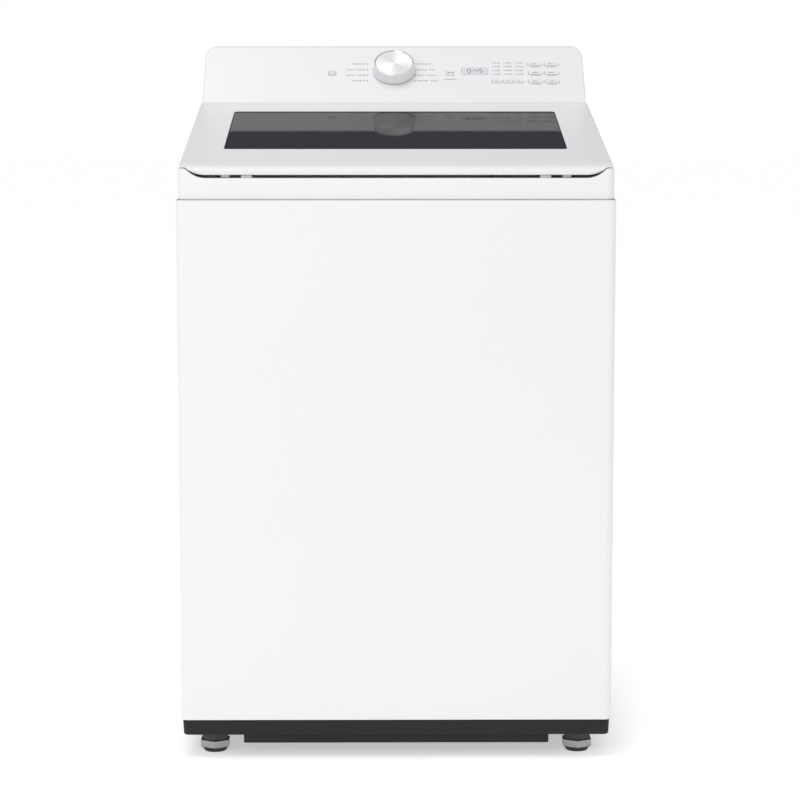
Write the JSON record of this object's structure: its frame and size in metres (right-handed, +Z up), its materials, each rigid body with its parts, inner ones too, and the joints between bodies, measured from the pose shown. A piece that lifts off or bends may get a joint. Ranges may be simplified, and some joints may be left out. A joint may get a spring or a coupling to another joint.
{
  "type": "top load washing machine",
  "caption": "Free-standing top loading washing machine with a sloped glass lid, rear control console with dial, sprung tub, spinning basket and wash plate.",
  "frame": {"origin": "on the floor at the centre of the footprint", "axes": "+Z up, front faces -Y, +X to the viewer's right from the front"},
  "size_m": [0.686, 0.721, 1.13],
  "materials": {
    "white_steel": "gloss",
    "white_moulding": "gloss",
    "liner_white": "satin",
    "panel_white": "satin",
    "dial_white": "gloss",
    "dial_metal": "spun",
    "bright_ring": "polished",
    "tinted_glass": "tinted",
    "display_clear": "clear",
    "galvanised": "satin",
    "dark_base": "satin",
    "dark_plastic": "satin",
    "lock_plastic": "satin",
    "board_green": "satin",
    "foot_steel": "satin",
    "nut_steel": "satin",
    "stop_rubber": "matte",
    "hose_rubber": "matte",
    "tub_plastic": "satin",
    "ring_plastic": "satin",
    "stainless": "brushed",
    "cast_aluminium": "cast",
    "steel": "plain",
    "windings": "wound",
    "plate_plastic": "satin",
    "filter_plastic": "satin",
    "drawer_plastic": "satin",
    "valve_plastic": "satin"
  },
  "bodies": {
    "cabinet": {"base_frame": "dark_base", "base_shield": "dark_base", "cabinet_wrap": "white_steel", "console_back": "galvanised", "console_fascia": "white_moulding", "control_board": "board_green", "cord_gland": "dark_plastic", "corner_brackets": "galvanised", "cover_stops": "stop_rubber", "dial_encoder": "dark_plastic", "dispenser_housing": "liner_white", "display_window": "display_clear", "drain_outlet": "valve_plastic", "fill_hoses": "hose_rubber", "hinge_brackets": "stainless", "inlet_valves": "valve_plastic", "lid_lock": "dark_plastic", "lock_nuts": "nut_steel", "rear_panel": "galvanised", "rear_screws": "steel", "suspension_rods": "steel", "suspension_springs": "steel", "top_cover": "white_moulding"},
    "lid": {"lid_frame": "white_moulding", "lid_glass": "tinted_glass", "lid_liner": "liner_white", "lid_strike": "lock_plastic", "lid_stops": "stop_rubber"},
    "dial": {"dial_body": "dial_white", "dial_disc": "dial_metal", "dial_ring": "bright_ring"},
    "drawer": {"dispenser_drawer": "drawer_plastic"},
    "lock_bolt": {"lid_lock_bolt": "lock_plastic"},
    "tub": {"outer_tub": "tub_plastic", "tub_cover": "tub_plastic", "tub_bearings": "steel", "drain_pump": "dark_plastic", "stator": "windings"},
    "basket": {"basket_shell": "stainless", "basket_hub": "cast_aluminium", "balance_ring": "ring_plastic", "lint_filters": "filter_plastic"},
    "agitator": {"wash_plate": "plate_plastic", "drive_shaft": "steel", "rotor": "steel"},
    "power_key": {"power_key": "panel_white"},
    "start_key": {"start_key": "panel_white"},
    "cycle_key_1": {"cycle_key_1": "panel_white"},
    "cycle_key_2": {"cycle_key_2": "panel_white"},
    "cycle_key_3": {"cycle_key_3": "panel_white"},
    "option_key_1": {"option_key_1": "panel_white"},
    "option_key_2": {"option_key_2": "panel_white"},
    "option_key_3": {"option_key_3": "panel_white"},
    "option_key_4": {"option_key_4": "panel_white"},
    "option_key_5": {"option_key_5": "panel_white"},
    "option_key_6": {"option_key_6": "panel_white"},
    "foot_front_left": {"foot_front_left": "foot_steel"},
    "foot_rear_left": {"foot_rear_left": "foot_steel"},
    "foot_front_right": {"foot_front_right": "foot_steel"},
    "foot_rear_right": {"foot_rear_right": "foot_steel"}
  },
  "joints": [
    {"name": "lid_hinge", "type": "hinge", "parent": "cabinet", "child": "lid", "pos_m": [0, 0.1865, 1.00902], "axis": [-1, 0, 0], "range_deg": [0, 105]},
    {"name": "dial_turn", "type": "hinge", "parent": "cabinet", "child": "dial", "pos_m": [0, 0.27529, 1.08564], "axis": [0, -0.6332, 0.774], "continuous": true},
    {"name": "power_key_press", "type": "slide", "parent": "cabinet", "child": "power_key", "axis": [0, 0.6332, -0.774], "range_m": [0, 0.0008], "stiffness_N_per_m": 400, "springref_m": -0.001},
    {"name": "start_key_press", "type": "slide", "parent": "cabinet", "child": "start_key", "axis": [0, 0.6332, -0.774], "range_m": [0, 0.0008], "stiffness_N_per_m": 400, "springref_m": -0.001},
    {"name": "cycle_key_1_press", "type": "slide", "parent": "cabinet", "child": "cycle_key_1", "axis": [0, 0.6332, -0.774], "range_m": [0, 0.0008], "stiffness_N_per_m": 400, "springref_m": -0.001},
    {"name": "cycle_key_2_press", "type": "slide", "parent": "cabinet", "child": "cycle_key_2", "axis": [0, 0.6332, -0.774], "range_m": [0, 0.0008], "stiffness_N_per_m": 400, "springref_m": -0.001},
    {"name": "cycle_key_3_press", "type": "slide", "parent": "cabinet", "child": "cycle_key_3", "axis": [0, 0.6332, -0.774], "range_m": [0, 0.0008], "stiffness_N_per_m": 400, "springref_m": -0.001},
    {"name": "option_key_1_press", "type": "slide", "parent": "cabinet", "child": "option_key_1", "axis": [0, 0.6332, -0.774], "range_m": [0, 0.0008], "stiffness_N_per_m": 400, "springref_m": -0.001},
    {"name": "option_key_2_press", "type": "slide", "parent": "cabinet", "child": "option_key_2", "axis": [0, 0.6332, -0.774], "range_m": [0, 0.0008], "stiffness_N_per_m": 400, "springref_m": -0.001},
    {"name": "option_key_3_press", "type": "slide", "parent": "cabinet", "child": "option_key_3", "axis": [0, 0.6332, -0.774], "range_m": [0, 0.0008], "stiffness_N_per_m": 400, "springref_m": -0.001},
    {"name": "option_key_4_press", "type": "slide", "parent": "cabinet", "child": "option_key_4", "axis": [0, 0.6332, -0.774], "range_m": [0, 0.0008], "stiffness_N_per_m": 400, "springref_m": -0.001},
    {"name": "option_key_5_press", "type": "slide", "parent": "cabinet", "child": "option_key_5", "axis": [0, 0.6332, -0.774], "range_m": [0, 0.0008], "stiffness_N_per_m": 400, "springref_m": -0.001},
    {"name": "option_key_6_press", "type": "slide", "parent": "cabinet", "child": "option_key_6", "axis": [0, 0.6332, -0.774], "range_m": [0, 0.0008], "stiffness_N_per_m": 400, "springref_m": -0.001},
    {"name": "drawer_slide", "type": "slide", "parent": "cabinet", "child": "drawer", "axis": [0, -1, 0], "range_m": [0, 0.11]},
    {"name": "lock_bolt_slide", "type": "slide", "parent": "cabinet", "child": "lock_bolt", "axis": [-1, 0, 0], "range_m": [0, 0.009]},
    {"name": "tub_bounce", "type": "slide", "parent": "cabinet", "child": "tub", "axis": [0, 0, 1], "range_m": [-0.02, 0.02], "stiffness_N_per_m": 12000, "springref_m": 0.02, "deforming": ["suspension_springs"]},
    {"name": "basket_spin", "type": "hinge", "parent": "tub", "child": "basket", "pos_m": [0, -0.0105, 0.22], "axis": [0, 0, 1], "continuous": true},
    {"name": "wash_plate_turn", "type": "hinge", "parent": "tub", "child": "agitator", "pos_m": [0, -0.0105, 0.23], "axis": [0, 0, 1], "continuous": true},
    {"name": "foot_front_left_screw", "type": "slide", "parent": "cabinet", "child": "foot_front_left", "axis": [0, 0, -1], "range_m": [0, 0.012]},
    {"name": "foot_rear_left_screw", "type": "slide", "parent": "cabinet", "child": "foot_rear_left", "axis": [0, 0, -1], "range_m": [0, 0.012]},
    {"name": "foot_front_right_screw", "type": "slide", "parent": "cabinet", "child": "foot_front_right", "axis": [0, 0, -1], "range_m": [0, 0.012]},
    {"name": "foot_rear_right_screw", "type": "slide", "parent": "cabinet", "child": "foot_rear_right", "axis": [0, 0, -1], "range_m": [0, 0.012]}
  ]
}
